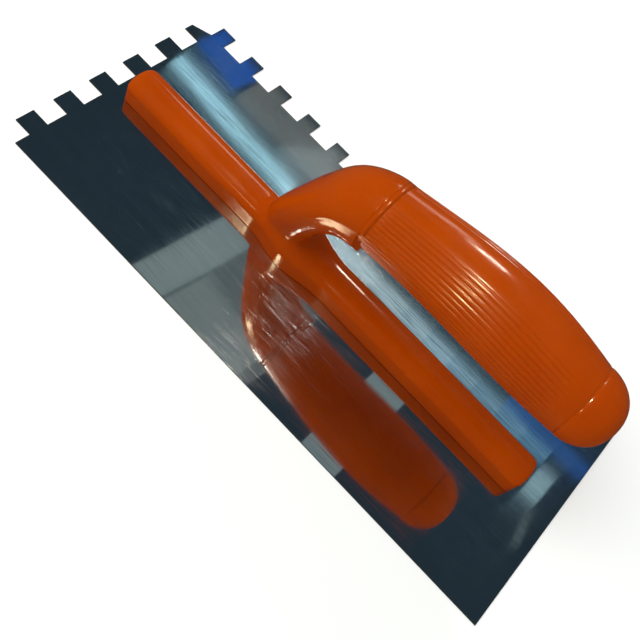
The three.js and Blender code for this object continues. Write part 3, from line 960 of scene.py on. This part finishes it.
LAMPS = (
    # name, place, target, size in metres, radiance, colour, seen in gloss, lights what is matt
    ("key", (-0.8, -0.6, 1.65), (0, 0, 0), (1.5, 1.5), 4.7,
     (1, 1.06, 0.98), False, True),
    ("lamp", (-0.19, 1.15, 0.97), (0, 0, 0.03), (0.2, 0.08), 80,
     (1, 0.98, 0.94), True, True),
    ("window", (-0.5, 1.4, 0.8), (0, 0, 0.05), (0.4, 0.25), 4,
     (1, 0.95, 0.9), True, False),
    ("near_lamp", (-0.25, -0.78, 1.1), (0, 0, 0.04), (0.17, 0.12), 30,
     (1, 0.84, 0.56), True, False),
    ("overhead", (-0.14, -0.08, 1.1), (0, 0, 0), (0.08, 0.08), 320,
     (1, 0.9, 0.74), True, False),
)

MIRRORED = (
    # name, stretch of X and of Y on the blade in millimetres, radiance, colour, turn in degrees
    ("streak", (-129, -45), (20.6, 29.2), 1.3, (0.47, 0.86, 1.0), -4.6),
    ("blue_patch", (-131, -99), (42, 61), 0.45, (0.0, 0.17, 1.0), -10),
    ("warm_patch", (-97, -36), (37, 60), 0.16, (1.0, 0.95, 0.82), 0),
    ("pale_patch", (-62, -20), (18, 48), 0.16, (0.8, 0.97, 1.0), -40),
    ("glow", (-57, 5), (-75, -10), 0.1, (0.85, 1.0, 0.95), -7),
    ("low_glow", (-39, 9), (-75, -43), 0.11, (0.92, 1.0, 0.93), -7),
    ("post", (-57, -39), (-75, -10), 0.16, (0.82, 1.0, 0.97), -7),
    ("second_post", (41, 60), (-66, -10), 0.24, (0.8, 1.0, 0.98), 0),
    ("end_patch", (122, 131), (-2, 15), 0.5, (0.6, 0.92, 1.0), 0),
    ("end_arc", (130, 134), (-25, -6), 0.1, (0.8, 1.0, 0.97), 12),
    ("far_blue_patch", (92, 140), (24, 34), 0.3, (0.03, 0.25, 1.0), 0),
)

LOOP_STREAK_START = -45
LOOP_STREAK_Y = (14.3, 24)
LOOP_STREAK_STEP = 15.2
LOOP_STREAK_STEPS = 11
LOOP_STREAK_FADE = (15, 105)  # where it starts to dim and turn bluer, and where that ends


def make_loop_streak():
    """A streak seen through the finger loop, in steps that grow dimmer and bluer along it."""
    fade_start, fade_end = LOOP_STREAK_FADE
    for number in range(LOOP_STREAK_STEPS):
        start = LOOP_STREAK_START + LOOP_STREAK_STEP * number
        stretch = (start, start + LOOP_STREAK_STEP)
        t = min(max((start - fade_start) / (fade_end - fade_start), 0), 1)
        colour = (0.72 - 0.42 * t, 0.95 - 0.25 * t, 1.0)
        name = f"loop_streak_{number}"
        mirrored_panel(name, stretch, LOOP_STREAK_Y, 0.85 - 0.43 * t, colour)


def make_light():
    """A broad soft key, a few lamps for small highlights, and what the steel mirrors."""
    for name, at, target, size, radiance, colour, in_gloss, on_matt in LAMPS:
        panel = soft_panel(name, at, toward(at, target), size, radiance, colour)
        panel.visible_glossy = in_gloss
        panel.visible_diffuse = on_matt
    for row in MIRRORED:
        mirrored_panel(*row)
    make_loop_streak()


MIRRORED_SKY = (
    # height of the direction, colour: what glossy surfaces mirror
    (0.0, (0.085, 0.07, 0.05)),
    (0.25, (0.055, 0.05, 0.042)),
    (0.6, (0.022, 0.038, 0.052)),
)
OPEN_SKY = (0.52, 0.51, 0.52)  # what lights matt surfaces


def make_world():
    """Dim above and paler towards the horizon for reflections, and even and pale for the rest."""
    world = bpy.data.worlds.new("studio")
    bpy.context.scene.world = world
    world.use_nodes = True
    nodes = world.node_tree.nodes
    link = world.node_tree.links.new
    coordinates = nodes.new("ShaderNodeTexCoord")
    split = nodes.new("ShaderNodeSeparateXYZ")
    link(coordinates.outputs["Generated"], split.inputs["Vector"])
    ramp = nodes.new("ShaderNodeValToRGB")
    ramp.color_ramp.elements.new(0.5)
    for element, (place, colour) in zip(ramp.color_ramp.elements, MIRRORED_SKY):
        element.position = place
        element.color = (*colour, 1)
    link(split.outputs["Z"], ramp.inputs["Fac"])
    path = nodes.new("ShaderNodeLightPath")
    unscattered = nodes.new("ShaderNodeMath")
    unscattered.operation = "LESS_THAN"
    unscattered.inputs[1].default_value = 0.5
    link(path.outputs["Diffuse Depth"], unscattered.inputs[0])
    mirrored = nodes.new("ShaderNodeMath")
    mirrored.operation = "MULTIPLY"
    link(path.outputs["Is Glossy Ray"], mirrored.inputs[0])
    link(unscattered.outputs["Value"], mirrored.inputs[1])
    mix = nodes.new("ShaderNodeMix")
    mix.data_type = "RGBA"
    mix.inputs["A"].default_value = (*OPEN_SKY, 1)
    link(mirrored.outputs["Value"], mix.inputs["Factor"])
    link(ramp.outputs["Color"], mix.inputs["B"])
    link(mix.outputs["Result"], nodes["Background"].inputs["Color"])


make_camera()
make_floor()
make_light()
make_world()
bpy.context.scene.view_settings.view_transform = "Standard"
make_blade()
make_frame()
make_sleeve()
make_cap()
make_screws()
